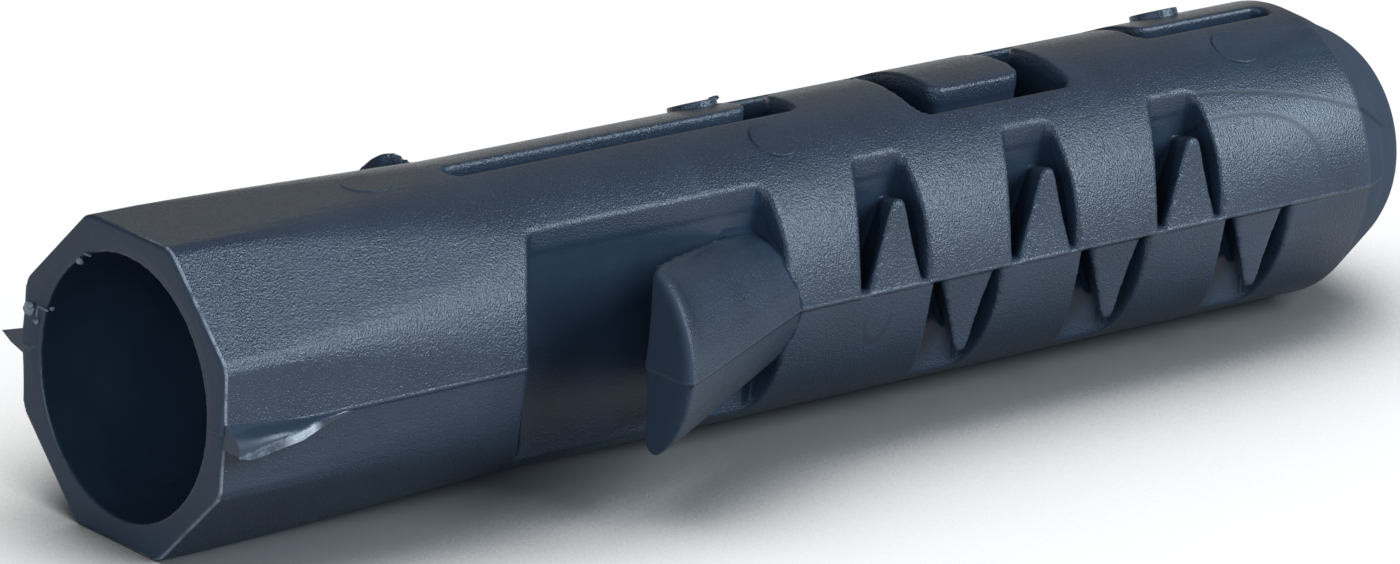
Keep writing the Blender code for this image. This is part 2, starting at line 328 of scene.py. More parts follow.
def empty_material(name):
    """A material with no nodes yet, and its graph."""
    material = bpy.data.materials.new(name)
    material.use_nodes = True
    material.node_tree.nodes.clear()
    return material, Graph(material.node_tree)


def geometry_graph(name, inputs):
    """The graph of a new Geometry Nodes tree, with the names and kinds of its further inputs."""
    tree = bpy.data.node_groups.new(name, "GeometryNodeTree")
    face = tree.interface
    face.new_socket("Geometry", in_out="INPUT", socket_type="NodeSocketGeometry")
    for label, kind in inputs.items():
        face.new_socket(label, in_out="INPUT", socket_type=kind)
    face.new_socket("Geometry", in_out="OUTPUT", socket_type="NodeSocketGeometry")
    return Graph(tree)


def end_tree(graph, geometry, material):
    """Makes a Geometry Nodes tree's result real geometry in its material."""
    whole = graph.node("GeometryNodeRealizeInstances", values={"Geometry": geometry})
    coated = graph.node(
        "GeometryNodeSetMaterial", values={"Geometry": whole, "Material": material}
    )
    graph.node("NodeGroupOutput", values={"Geometry": coated})
    return graph.tree


def add_tree(maker, name, tree, values):
    """Adds a Geometry Nodes modifier and sets its inputs through their sockets' identifiers."""
    modifier = maker.modifiers.new(name, "NODES")
    modifier.node_group = tree
    for item in tree.interface.items_tree:
        if item.item_type == "SOCKET" and item.in_out == "INPUT" and item.name in values:
            modifier[item.identifier] = values[item.name]


# Objects -----------------------------------------------------------------------------------------


def add_object(name, data):
    """A new object in the scene."""
    made = bpy.data.objects.new(name, data)
    bpy.context.scene.collection.objects.link(made)
    return made


def mesh_from(build, name):
    """Turns a bmesh into a mesh and frees it."""
    mesh = bpy.data.meshes.new(name)
    build.to_mesh(mesh)
    build.free()
    return mesh


def plain_mesh(maker, name):
    """Replaces an object and its modifiers by what they make, as a plain mesh object."""
    bpy.context.view_layer.update()
    evaluated = maker.evaluated_get(bpy.context.evaluated_depsgraph_get())
    mesh = bpy.data.meshes.new_from_object(evaluated)
    mesh.name = name
    bpy.data.objects.remove(maker, do_unlink=True)
    return add_object(name, mesh)


def finish_piece(piece, material):
    """Gives a finished piece its material and puts it on the plug's body."""
    piece.data.materials.clear()
    piece.data.materials.append(material)
    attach(piece, BODY)


# Nylon -------------------------------------------------------------------------------------------

# Passages over which a mask sets in, in millimetres: off the plug's axis, then across the plug
# towards its far side, then along it from the mouth
OUTER_SKIN_RADIUS = (3.3, 3.7)
RIDGE_RADIUS = (3.3, 3.45)
RIM_RADIUS = (3.55, 3.65)
WING_RADIUS = (4.2, 4.4)
RIM_FAR_SIDE = (-2.0, 0.5)
MOUTH_FACE_END = (0.0, 0.02)
RIM_END = (0.06, 0.10)
WING_TIP_END = (11.75, 11.9)
FLOW_MARKS_START = (30.0, 36.0)
NOSE_CONE_START = (37.1, 37.3)

# Noises: the size of their largest forms, and how many finer layers they have
NOISE_MEAN = 0.5
NOISE_ROUGHNESS = 0.6
GRAIN_DETAIL = 1.5
CLOUD_SIZE = 1.6 * MM
CLOUD_DETAIL = 4.0
STREAK_SIZE = 0.9 * MM
STREAK_DETAIL = 5.0
STREAK_SCALE = (0.25, 1.0, 1.0)
TEAR_SIZE = 0.30 * MM
TEAR_DETAIL = 6.0

# Weld lines on the unrolled skin, each a piece of a superellipse: its centre and radii in
# millimetres, its exponent, where it starts along the plug, and the turns between which it shows
WELD_LINES = (
    ((30.5, 9.0), (11.0, 6.3), 2.0, 31.8, (2.4, 4.6)),
    ((32.0, 6.0), (3.62, 2.5), 3.0, 31.5, (3.2, 6.0)),
    ((20.37, 6.7), (0.42, 0.75), 2.0, 19.5, (6.7, 7.6)),
)
WELD_HALF_WIDTH = 0.11
WELD_FADE_ALONG = 0.3
WELD_FADE_ROUND = 0.1

# Shades of the nylon: a share of its colour, and what is added to that
CLOUD_DARK = (0.93, 0.0)
CLOUD_LIGHT = (1.08, 0.001)
FLOW_PALE = (1.9, 0.006)
WELD_DARK = (0.5, 0.0)
FLOW_STRENGTH = 0.35
FLOW_LOSS_ON_CONE = 0.8
WELD_STRENGTH = 0.7

# Values of a noise between which a pattern made from it sets in
CLOUDS_SHOWN = (0.32, 0.68)
STREAKS_SHOWN = (0.45, 0.7)
SPECKLE_SHOWN = (0.56, 0.72)
RIM_TEARS_SHOWN = (0.25, 0.6)
BURR_TEARS_SHOWN = (0.3, 0.6)
LIP_TEARS_SHOWN = (0.4, 0.65)

# How far the nylon is lightened: the mouth's rim, the parting ridge and the burrs
# On the rim this is partly torn, whitened nylon and partly a painted highlight on the lit near side
RIM_WHITENING_AND_HIGHLIGHT = 0.5
# A painted highlight along the parting ridge
RIDGE_PAINTED_HIGHLIGHT = 0.04
BURR_WHITENING = 0.5
BURR_LEAST_WHITENING = 0.1

# The flash's whitened lip: the depth below the parting line where it begins, how the tears and the
# way from the mouth shift that, and where it ends and gets bright along the plug, in millimetres
LIP_DEPTH = (0.42, 0.50)
LIP_TEAR_SHIFT = 0.16
LIP_SLOPE = 0.1
LIP_END = (2.45, 2.85)
LIP_BRIGHT_START = (1.3, 1.9)
LIP_BRIGHT_WHITENING = 0.7
LIP_TORN_WHITENING = 0.25
LIP_LEAST_WHITENING = 0.05

# What clouds, grain, weld lines, bare ends and whitening add to the roughness or take from it,
# and the share of it that the film has
CLOUD_ROUGHNESS = 0.14
SPECKLE_POLISH = 0.10
WELD_ROUGHNESS = 0.20
END_ROUGHNESS = 0.30
WHITENED_ROUGHNESS = 0.3
FILM_ROUGHNESS_SHARE = 0.5

# Shares of the grain's depth: what inner faces keep, what is lost elsewhere, what the streaks add
INNER_GRAIN = 0.35
END_GRAIN_LOSS = 0.6
NOSE_GRAIN_LOSS = 0.45
WELD_GRAIN_LOSS = 0.8
STREAK_GRAIN = 0.3

# Relief in millimetres: the parting line's ridge, the weld lines, and the film's waves and tears
RIDGE_HALF_WIDTH = 0.09
RIDGE_HEIGHT = 0.024
WELD_DEPTH = 0.004
FILM_WAVE_HEIGHT = 0.014
FILM_TEAR_HEIGHT = 0.06

# The mesh attribute that says how hollow the skin is, in millimetres, and the values over which
# the nylon loses its gloss, so that no hollow corner mirrors the pale floor
HOLLOW = "hollow"
HOLLOW_DULLED = (0.0012, 0.0042)
NYLON_IOR = 1.53


def plug_places(graph):
    """Coordinates on the plug in millimetres: along it, across it, above its axis, and off it."""
    position = graph.node("ShaderNodeTexCoord", output="Object")
    parts = graph.node("ShaderNodeSeparateXYZ", values={"Vector": position})
    along = parts * (1 / MM) - MOUTH_X / MM
    across = parts.out("Y") * (1 / MM)
    above = parts.out("Z") * (1 / MM) - BODY_RADIUS / MM
    radius = (across * across + above * above) ** 0.5
    return position, along, across, above, radius


def surface_noise(graph, position, size, detail):
    return graph.node(
        "ShaderNodeTexNoise",
        {"noise_dimensions": "3D"},
        {
            "Vector": position,
            "Scale": 1.0 / size,
            "Detail": detail,
            "Roughness": NOISE_ROUGHNESS,
        },
    )


def weld_line(along, turn, centre, radii, exponent, start, shown):
    """1 in the middle of a thin line and 0 beside it."""
    off_x = (abs(along - centre[0]) / radii[0]) ** exponent
    off_y = (abs(turn - centre[1]) / radii[1]) ** exponent
    off_line = abs((off_x + off_y) ** (1.0 / exponent) - 1.0) * min(radii)
    shown_along = along.rise(start - WELD_FADE_ALONG, start + WELD_FADE_ALONG)
    begun, ended = (turn.rise(end - WELD_FADE_ROUND, end + WELD_FADE_ROUND) for end in shown)
    shown_round = begun * (1.0 - ended)
    return (1.0 - off_line.rise(0.0, WELD_HALF_WIDTH)) * shown_along * shown_round


def parting_ridge(above, radius):
    """1 on the crest of the fine ridge on the outer skin's parting line and 0 beside it."""
    return (1.0 - abs(above).rise(0.0, RIDGE_HALF_WIDTH)) * radius.rise(*RIDGE_RADIUS)


class NylonPattern:
    """Places, noises and masks that the nylon's colour, roughness and relief are made from."""

    def __init__(self, graph, grain_size):
        position, along, across, above, radius = plug_places(graph)
        turn = graph.node("ShaderNodeMath", {"operation": "ARCTAN2"}, {0: across * -1.0, 1: above})
        turn = turn * (BODY_RADIUS / MM)
        stretched = graph.node(
            "ShaderNodeMapping",
            {"vector_type": "POINT"},
            {"Vector": position, "Scale": STREAK_SCALE},
        )
        self.along, self.across, self.above = along, across, above
        self.grain = surface_noise(graph, position, grain_size, GRAIN_DETAIL)
        self.clouds = surface_noise(graph, position, CLOUD_SIZE, CLOUD_DETAIL)
        self.streaks = surface_noise(graph, stretched, STREAK_SIZE, STREAK_DETAIL)
        self.tears = surface_noise(graph, position, TEAR_SIZE, TEAR_DETAIL)
        self.welds = 0.0
        for line in WELD_LINES:
            self.welds = weld_line(along, turn, *line) + self.welds
        self.ridge = parting_ridge(above, radius)
        self.skin = radius.rise(*OUTER_SKIN_RADIUS)
        self.near_nose = along.rise(*FLOW_MARKS_START)
        self.nose_cone = along.rise(*NOSE_CONE_START)
        past_mouth = along.rise(*MOUTH_FACE_END)
        self.rim = past_mouth * (1.0 - along.rise(*RIM_END)) * radius.rise(*RIM_RADIUS)
        wing_tip = radius.rise(*WING_RADIUS) * (1.0 - along.rise(*WING_TIP_END))
        self.dull_end = wing_tip.math("MAXIMUM", self.nose_cone)
        self.smooth_end = self.dull_end.math("MAXIMUM", 1.0 - past_mouth)


def shade(colour, share, added):
    return [share * part + added for part in colour]


def nylon_colour(graph, look, spot, whitened):
    """The clouded nylon with its flow marks and weld lines, whitened and given painted highlights
    as far as is said.
    """
    colour = look.colour
    base = graph.mix(
        spot.clouds.rise(*CLOUDS_SHOWN), shade(colour, *CLOUD_DARK), shade(colour, *CLOUD_LIGHT)
    )
    flow = spot.near_nose * (1.0 - spot.nose_cone * FLOW_LOSS_ON_CONE)
    flow = flow * spot.streaks.rise(*STREAKS_SHOWN) * FLOW_STRENGTH
    base = graph.mix(flow, base, shade(colour, *FLOW_PALE))
    base = graph.mix(spot.welds * WELD_STRENGTH, base, shade(colour, *WELD_DARK))
    # whitened also carries the painted highlights on the rim and the ridge
    return graph.mix(whitened, base, look.stress_and_highlight_colour)


def rim_whitening_and_painted_highlights(spot):
    """Lightening: the torn rim's whitening and painted highlight, and a painted highlight on the
    ridge.
    """
    # The rim's near side: partly torn whitening, partly a painted highlight
    torn = spot.rim * (1.0 - spot.across.rise(*RIM_FAR_SIDE)) * spot.tears.rise(*RIM_TEARS_SHOWN)
    # The ridge's share is a painted highlight
    return torn * RIM_WHITENING_AND_HIGHLIGHT + spot.ridge * RIDGE_PAINTED_HIGHLIGHT


def burr_whitening(spot):
    return spot.tears.rise(*BURR_TEARS_SHOWN) * BURR_WHITENING + BURR_LEAST_WHITENING


def grained_surface(look, spot):
    """Roughness, and height in millimetres, of nylon from the spark-eroded mould."""
    speckle = spot.grain.rise(*SPECKLE_SHOWN) * spot.skin
    rough = look.roughness + (spot.clouds - NOISE_MEAN) * CLOUD_ROUGHNESS
    rough = rough - speckle * SPECKLE_POLISH + spot.welds * WELD_ROUGHNESS
    rough = rough + spot.smooth_end * END_ROUGHNESS + spot.dull_end * END_ROUGHNESS
    height = (spot.grain - NOISE_MEAN) * (INNER_GRAIN + (1.0 - INNER_GRAIN) * spot.skin)
    height = height * (1.0 - END_GRAIN_LOSS * spot.smooth_end)
    height = height * (1.0 - NOSE_GRAIN_LOSS * spot.near_nose)
    height = height * (1.0 - WELD_GRAIN_LOSS * spot.welds)
    height = height + spot.streaks * spot.near_nose * STREAK_GRAIN
    height = height * (look.grain_depth / MM)
    return rough, height + spot.ridge * RIDGE_HEIGHT - spot.welds * WELD_DEPTH


def film_surface(look, spot):
    """Whitening, roughness, and height in millimetres, of the smooth film with its torn lip."""
    depth = spot.tears * LIP_TEAR_SHIFT - spot.above + spot.along * LIP_SLOPE
    lip = depth.rise(*LIP_DEPTH) * (1.0 - spot.along.rise(*LIP_END))
    bright = spot.along.rise(*LIP_BRIGHT_START) * LIP_BRIGHT_WHITENING
    torn = spot.tears.rise(*LIP_TEARS_SHOWN) * LIP_TORN_WHITENING
    whitened = lip * (bright + torn + LIP_LEAST_WHITENING)
    rough = look.roughness * FILM_ROUGHNESS_SHARE + whitened * WHITENED_ROUGHNESS
    rough = rough + spot.smooth_end * END_ROUGHNESS
    height = spot.clouds * FILM_WAVE_HEIGHT + spot.tears * lip * FILM_TEAR_HEIGHT
    return whitened, rough, height


def nylon(name, finish="skin"):
    """Dark nylon: the skin of a spark-eroded mould, a smooth film that whitened, or a torn burr."""
    look = bpy.context.scene.wall_plug_nylon
    material, graph = empty_material(name)
    material.diffuse_color = (*look.colour, 1.0)
    spot = NylonPattern(graph, look.grain_size)
    if finish == "film":
        whitened, rough, height = film_surface(look, spot)
    else:
        # On the skin, the whitening includes painted highlights on the rim and the ridge
        whitened = rim_whitening_and_painted_highlights(spot) if finish == "skin" else burr_whitening(spot)
        rough, height = grained_surface(look, spot)
    base = nylon_colour(graph, look, spot, whitened)
    bump = graph.node(
        "ShaderNodeBump",
        values={"Strength": 1.0, "Distance": MM, "Height": height},
        output="Normal",
    )
    glossy = graph.node(
        "ShaderNodeBsdfPrincipled",
        values={
            "Base Color": base,
            "Roughness": rough,
            "Metallic": 0.0,
            "IOR": NYLON_IOR,
            "Specular IOR Level": look.sheen,
            "Normal": bump,
        },
    )
    dull = graph.node(
        "ShaderNodeBsdfPrincipled",
        values={"Base Color": base, "Roughness": 1.0, "Specular IOR Level": 0.0, "Normal": bump},
    )
    hollow = graph.node("ShaderNodeAttribute", {"attribute_name": HOLLOW}, output="Fac")
    surface = graph.node(
        "ShaderNodeMixShader",
        values={"Fac": hollow.rise(*HOLLOW_DULLED), "Shader": glossy, "Shader_001": dull},
    )
    graph.node("ShaderNodeOutputMaterial", values={"Surface": surface})
    return material


# Skin --------------------------------------------------------------------------------------------

# How close corners of the CAD node's triangles are taken for one, in metres
MERGE_DISTANCE = 1e-6

# Share of the softening that the body takes, and how far off the middle the wings begin, which
# take all of it, in millimetres
BODY_EASE = 0.04
WING_START = (4.0, 4.5)

# Steps of blurring that tell how hollow the skin is
HOLLOW_REACH = 3

# The parting line's step, which only the outer skin has, and the swell of the draft towards it, in
# millimetres
STEP_PASSAGE = (-0.04, 0.04)
STEP_RADIUS = (3.35, 3.5)
DRAFT_REACH = 1.5
DRAFT_SWELL = 0.075


def draft(above):
    """Height of the swell towards the parting line that the draft of both mould halves leaves."""
    share = (1.0 - abs(above) / DRAFT_REACH).math("MAXIMUM", 0.0)
    return share * share * DRAFT_SWELL


def skin_tree(material):
    """Eases the skin, notes its hollow corners and shapes its parting line; all in millimetres."""
    inputs = {
        "Softening": "NodeSocketInt",
        "Parting height": "NodeSocketFloat",
        "Parting step": "NodeSocketFloat",
    }
    graph = geometry_graph("moulded skin", inputs)
    given = graph.node("NodeGroupInput")
    position = graph.node("GeometryNodeInputPosition")
    aside = graph.node("ShaderNodeSeparateXYZ", values={"Vector": position}, output="Y")
    wings = abs(aside).rise(*WING_START)
    eased = graph.node(
        "GeometryNodeBlurAttribute",
        {"data_type": "FLOAT_VECTOR"},
        {
            "Value": position,
            "Iterations": given.out("Softening"),
            "Weight": wings * (1.0 - BODY_EASE) + BODY_EASE,
        },
    )
    soft = graph.node("GeometryNodeSetPosition", values={"Geometry": given, "Position": eased})
    place = graph.node("GeometryNodeInputPosition")
    outward = graph.node("GeometryNodeInputNormal")
    spread = graph.node(
        "GeometryNodeBlurAttribute",
        {"data_type": "FLOAT_VECTOR"},
        {"Value": place, "Iterations": HOLLOW_REACH, "Weight": 1.0},
    )
    filled = graph.vector("SUBTRACT", spread, place)
    hollow = graph.vector("DOT_PRODUCT", filled, outward, output="Value")
    noted = graph.node(
        "GeometryNodeStoreNamedAttribute",
        {"data_type": "FLOAT", "domain": "POINT"},
        {"Geometry": soft, "Name": HOLLOW, "Value": hollow},
    )
    parts = graph.node("ShaderNodeSeparateXYZ", values={"Vector": place})
    across = parts.out("Y")
    above = parts.out("Z") - given.out("Parting height")
    outside = ((across * across + above * above) ** 0.5).rise(*STEP_RADIUS)
    step = above.rise(*STEP_PASSAGE) * given.out("Parting step")
    offset = graph.vector("SCALE", outward, scale=(step + draft(above)) * outside)
    stepped = graph.node("GeometryNodeSetPosition", values={"Geometry": noted, "Offset": offset})
    return end_tree(graph, stepped, material)


def merged_copy(node):
    """The CAD node's triangles as one closed mesh, in millimetres."""
    build = bmesh.new()
    build.from_mesh(node.data)
    bmesh.ops.remove_doubles(build, verts=build.verts, dist=MERGE_DISTANCE)
    bmesh.ops.recalc_face_normals(build, faces=build.faces)
    bmesh.ops.scale(build, verts=build.verts, vec=(1 / MM, 1 / MM, 1 / MM))
    return add_object("plug shape", mesh_from(build, "plug shape"))


def make_skin(material):
    sizes = bpy.context.scene.wall_plug_moulding
    maker = merged_copy(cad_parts[PLUG_NODE])
    grid = maker.modifiers.new("grid", "REMESH")
    grid.mode = "VOXEL"
    grid.voxel_size = sizes.cell
    values = {
        "Softening": sizes.softening,
        "Parting height": BODY_RADIUS / MM,
        "Parting step": sizes.parting_step / MM,
    }
    add_tree(maker, "moulding", skin_tree(material), values)
    thin = maker.modifiers.new("thin out", "DECIMATE")
    thin.ratio = sizes.kept_share
    skin = plain_mesh(maker, "plug_skin")
    skin.data.transform(Matrix.Diagonal((MM, MM, MM, 1.0)))
    skin.data.shade_smooth()
    finish_piece(skin, material)
    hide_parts(PLUG_NODE)


# Pin marks ---------------------------------------------------------------------------------------

# Places of the ejector pins: millimetres along the plug, degrees off the top towards the near
# side, and millimetres that their discs stand over the body's radius
PIN_MARKS = (
    (7.05, 0.0, 0.045),
    (18.62, 23.0, 0.055),
    (34.3, 23.0, 0.055),
    (18.62, -23.6, 0.15),
    (34.35, -23.6, 0.18),
)
PIN_DISC_SIDES = 40

# How deep the discs go into the body and how wide their soft edge is, in millimetres
PIN_DISC_DEPTH = 0.5
PIN_EDGE_WIDTH = 0.03
PIN_EDGE_SEGMENTS = 2


def pin_tree(material):
    """A flat disc on each point, its face turned away from the plug's axis."""
    inputs = {
        "Pin diameter": "NodeSocketFloat",
        "Disc depth": "NodeSocketFloat",
        "Axis height": "NodeSocketFloat",
    }
    graph = geometry_graph("ejector pin marks", inputs)
    given = graph.node("NodeGroupInput")
    depth = given.out("Disc depth")
    disc = graph.node(
        "GeometryNodeMeshCylinder",
        {"fill_type": "NGON"},
        {
            "Vertices": PIN_DISC_SIDES,
            "Side Segments": 1,
            "Radius": given.out("Pin diameter") * 0.5,
            "Depth": depth,
        },
    )
    lowered = graph.node("ShaderNodeCombineXYZ", values={"Z": depth * -0.5})
    disc = graph.node("GeometryNodeTransform", values={"Geometry": disc, "Translation": lowered})
    place = graph.node("GeometryNodeInputPosition")
    parts = graph.node("ShaderNodeSeparateXYZ", values={"Vector": place})
    above = parts.out("Z") - given.out("Axis height")
    outward = graph.node("ShaderNodeCombineXYZ", values={"Y": parts.out("Y"), "Z": above})
    turn = graph.node("FunctionNodeAlignRotationToVector", {"axis": "Z"}, {"Vector": outward})
    discs = graph.node(
        "GeometryNodeInstanceOnPoints",
        values={"Points": given, "Instance": disc, "Rotation": turn},
    )
    return end_tree(graph, discs, material)


def make_pin_marks(material):
    points = []
    for along, degrees, rise in PIN_MARKS:
        turn = math.radians(degrees)
        reach = BODY_RADIUS + rise * MM
        points.append(
            (MOUTH_X + along * MM, -reach * math.sin(turn), BODY_RADIUS + reach * math.cos(turn))
        )
    mesh = bpy.data.meshes.new("pin places")
    mesh.from_pydata(points, [], [])
    maker = add_object("pin places", mesh)
    values = {
        "Pin diameter": bpy.context.scene.wall_plug_moulding.pin_diameter,
        "Disc depth": PIN_DISC_DEPTH * MM,
        "Axis height": BODY_RADIUS,
    }
    add_tree(maker, "discs", pin_tree(material), values)
    edge = maker.modifiers.new("soft edge", "BEVEL")
    edge.width = PIN_EDGE_WIDTH * MM
    edge.segments = PIN_EDGE_SEGMENTS
    finish_piece(plain_mesh(maker, "pin_marks"), material)


# Flash, burrs and specks -------------------------------------------------------------------------

# The flash beside the mouth, in millimetres: along the plug, its root above the parting line, how
# far it stands out, and its lip and its foot above the parting line
NEAR_FLASH = (
    (0.00, 0.28, 0.68, -0.39, -0.33),
    (0.35, 0.26, 0.62, -0.49, -0.33),
    (0.75, 0.23, 0.52, -0.53, -0.32),
    (1.30, 0.17, 0.48, -0.46, -0.28),
    (2.10, 0.11, 0.38, -0.40, -0.24),
    (2.45, 0.08, 0.29, -0.33, -0.20),
    (3.15, 0.04, 0.16, -0.18, -0.14),
    (3.65, 0.02, 0.08, -0.12, -0.10),
    (4.50, 0.00, 0.01, -0.02, -0.03),
)
FAR_FLASH = (
    (0.00, 0.38, 0.96, 0.04, -0.30),
    (0.30, 0.30, 0.60, 0.02, -0.24),
    (0.70, 0.20, 0.34, 0.00, -0.16),
    (1.30, 0.10, 0.14, 0.00, -0.08),
    (2.00, 0.02, 0.02, 0.00, -0.02),
)

# The flash's top as shares of its reach and of its fall
NEAR_FLASH_BEND = (
    (0.0, 0.0),
    (0.25, 0.10),
    (0.5, 0.22),
    (0.75, 0.36),
    (0.92, 0.50),
    (0.99, 0.68),
    (1.0, 1.0),
)
FAR_FLASH_BEND = ((0.0, 0.0), (0.5, 0.5), (1.0, 1.0))

# How deep the flash's root goes into the body, in millimetres
FLASH_ROOT = 0.12

# The flash's underside: the lip's inner corner as a share of the reach, with how far it lies
# inwards and upwards as shares of the thickness, and the reach between lip and foot
LIP_CORNER_REACH = 0.97
LIP_CORNER_INSET = 0.5
LIP_CORNER_RISE = 0.2
UNDERSIDE_REACH = 0.55
FLASH_SHARP_DEGREES = 50.0

# Torn bits on the mouth's rim, then specks of stray nylon, in millimetres: the middle along the
# plug, across it and above its axis, then the size the same three ways
MOUTH_BURRS = (
    ((-0.04, 3.64, 0.93), (0.18, 0.44, 0.34)),
    ((-0.10, 3.50, 1.05), (0.14, 0.15, 0.14)),
    ((-0.03, 3.13, 1.07), (0.10, 0.46, 0.06)),
    ((-0.04, 2.75, 1.18), (0.14, 0.13, 0.10)),
    ((-0.03, 3.33, 0.90), (0.10, 0.05, 0.30)),
    ((-0.04, 3.37, 0.69), (0.14, 0.17, 0.14)),
    ((-0.03, 1.75, 2.64), (0.18, 0.20, 0.16)),
    ((-0.02, 1.47, 2.88), (0.12, 0.28, 0.05)),
)
STRAY_SPECKS = (
    ((9.12, -3.62, 0.28), (0.22, 0.34, 0.56)),
    ((11.80, -6.83, -0.03), (0.10, 0.14, 0.05)),
    ((19.36, 1.60, 3.68), (0.34, 0.16, 0.10)),
)

# How uneven a lump is, how fine its unevenness is over its width, and how a lump's place in
# millimetres moves it on to other noise
SPECK_UNEVENNESS = 0.35
SPECK_NOISE_SCALE = 3.0
SPECK_NOISE_STEP = 5.0
SPECK_SUBDIVISIONS = 3


def flash_ring(build, station, side, bend, thickness):
    """A section of the flash: over its top from the body to its lip, and back beneath it."""
    along, root, out, lip, foot = station
    body = BODY_RADIUS / MM
    outline = [(body - FLASH_ROOT, root)]
    for reach, fall in bend:
        outline.append((body + out * reach, root + (lip - root) * fall))
    corner_reach = body + out * LIP_CORNER_REACH - thickness * LIP_CORNER_INSET
    outline.append((corner_reach, lip + thickness * LIP_CORNER_RISE))
    outline.append((body + out * UNDERSIDE_REACH, (lip + foot) / 2))
    outline.append((body - FLASH_ROOT, foot))
    return [
        build.verts.new((MOUTH_X + along * MM, side * reach * MM, BODY_RADIUS + height * MM))
        for reach, height in outline
    ]


def flash_loft(build, stations, side, bend, thickness):
    """Joins the flash's sections to one closed shape."""
    rings = [flash_ring(build, station, side, bend, thickness) for station in stations]
    for first, second in zip(rings, rings[1:]):
        for index, corner in enumerate(first):
            following = (index + 1) % len(first)
            build.faces.new((corner, first[following], second[following], second[index]))
    build.faces.new(rings[0])
    build.faces.new(rings[-1])


def make_flash(material):
    build = bmesh.new()
    thickness = bpy.context.scene.wall_plug_moulding.flash_thickness / MM
    flash_loft(build, NEAR_FLASH, -1, NEAR_FLASH_BEND, thickness)
    flash_loft(build, FAR_FLASH, 1, FAR_FLASH_BEND, thickness)
    bmesh.ops.recalc_face_normals(build, faces=build.faces)
    mesh = mesh_from(build, "parting_flash")
    mesh.shade_smooth()
    mesh.set_sharp_from_angle(angle=math.radians(FLASH_SHARP_DEGREES))
    finish_piece(add_object("parting_flash", mesh), material)


def make_specks(name, specks, material):
    """Uneven lumps at given places."""
    build = bmesh.new()
    for place, size in specks:
        made = bmesh.ops.create_icosphere(build, subdivisions=SPECK_SUBDIVISIONS, radius=0.5)
        for corner in made["verts"]:
            spot = corner.co * SPECK_NOISE_SCALE + Vector(place) * SPECK_NOISE_STEP
            swell = 1.0 + SPECK_UNEVENNESS * noise.noise(spot)
            offset = Vector(part * reach * swell for part, reach in zip(corner.co, size))
            corner.co = (Vector(place) + offset) * MM + AXIS_START
    mesh = mesh_from(build, name)
    mesh.shade_smooth()
    finish_piece(add_object(name, mesh), material)


# Studio ------------------------------------------------------------------------------------------

# The lamps: name, which setting gives its power, size in metres, direction from the plug's middle,
# and colour
LAMPS = (
    ("key", "key_power", (0.30, 0.30), (0.46, -0.70, 0.54), (0.82, 0.97, 1.10)),
    ("fill", "fill_power", (0.70, 0.30), (-0.84, -0.50, 0.25), (0.72, 0.94, 1.16)),
    ("bounce", "bounce_power", (0.5, 0.3), (0.63, 0.71, 0.31), (1.0, 0.93, 0.72)),
)
LAMP_DISTANCE = 0.5

# The floor's half width, and how far off and over which shares of openness the plug shades it
FLOOR_REACH = 3.0
FLOOR_SHADE_REACH = 0.03
FLOOR_SHADE = (0.42, 0.97)
FLOOR_SHADE_SAMPLES = 8

# The photograph's camera, found from the plug's outline: degrees, lengths in body radii, and the
# focal length and the photograph's width in pixels
VIEW_AZIMUTH = -41.5456
VIEW_ELEVATION = 18.1122
VIEW_ROLL = 3.3997
VIEW_DISTANCE = 55.5059
VIEW_TARGET = (4.6343, 0.0, -0.1074)
VIEW_FOCAL_PIXELS = 8648.5
PHOTO_WIDTH = 1400

# The camera's sensor, in millimetres, and how near it sees, in metres
SENSOR_WIDTH = 36.0
CLIP_START = 0.005


def floor_material():
    """A pale matte floor, white to the camera and in reflections save where the plug shades it."""
    studio = bpy.context.scene.wall_plug_studio
    material, graph = empty_material("pale floor")
    ray = graph.node("ShaderNodeLightPath")
    seen = ray.out("Is Camera Ray") + ray.out("Is Glossy Ray") + ray.out("Is Transmission Ray")
    open_share = graph.node(
        "ShaderNodeAmbientOcclusion",
        {"samples": FLOOR_SHADE_SAMPLES},
        {"Distance": FLOOR_SHADE_REACH},
        "AO",
    )
    shader = graph.node(
        "ShaderNodeBsdfPrincipled",
        values={
            "Base Color": opaque(studio.floor_colour),
            "Roughness": 1.0,
            "Specular IOR Level": 0.0,
            "Emission Color": seen * open_share.rise(*FLOOR_SHADE),
            "Emission Strength": studio.floor_glow,
        },
    )
    graph.node("ShaderNodeOutputMaterial", values={"Surface": shader})
    return material


def make_floor():
    mesh = bpy.data.meshes.new("floor")
    corners = [
        (-FLOOR_REACH, -FLOOR_REACH, 0.0),
        (FLOOR_REACH, -FLOOR_REACH, 0.0),
        (FLOOR_REACH, FLOOR_REACH, 0.0),
        (-FLOOR_REACH, FLOOR_REACH, 0.0),
    ]
    mesh.from_pydata(corners, [], [(0, 1, 2, 3)])
    mesh.materials.append(floor_material())
    floor = add_object("floor", mesh)


def make_lamp(name, power, size, direction, colour):
    """A lamp in a direction from the plug's middle, at a shared distance, turned to face it."""
    data = bpy.data.lights.new(name, "AREA")
    data.energy = power
    data.shape = "RECTANGLE"
    data.size, data.size_y = size
    data.color = colour
    lamp = add_object(name, data)
    towards = Vector(direction).normalized()
    lamp.location = towards * LAMP_DISTANCE + Vector((0.0, 0.0, BODY_RADIUS))
    lamp.rotation_euler = towards.to_track_quat("Z", "Y").to_euler()


def make_lights():
    studio = bpy.context.scene.wall_plug_studio
    for name, power, size, direction, colour in LAMPS:
        make_lamp(name, getattr(studio, power), size, direction, colour)
    world = bpy.data.worlds.new("room")
    world.use_nodes = True
    room = world.node_tree.nodes["Background"]
    room.inputs["Color"].default_value = (1.0, 1.0, 1.0, 1.0)
    room.inputs["Strength"].default_value = studio.world_strength
    bpy.context.scene.world = world


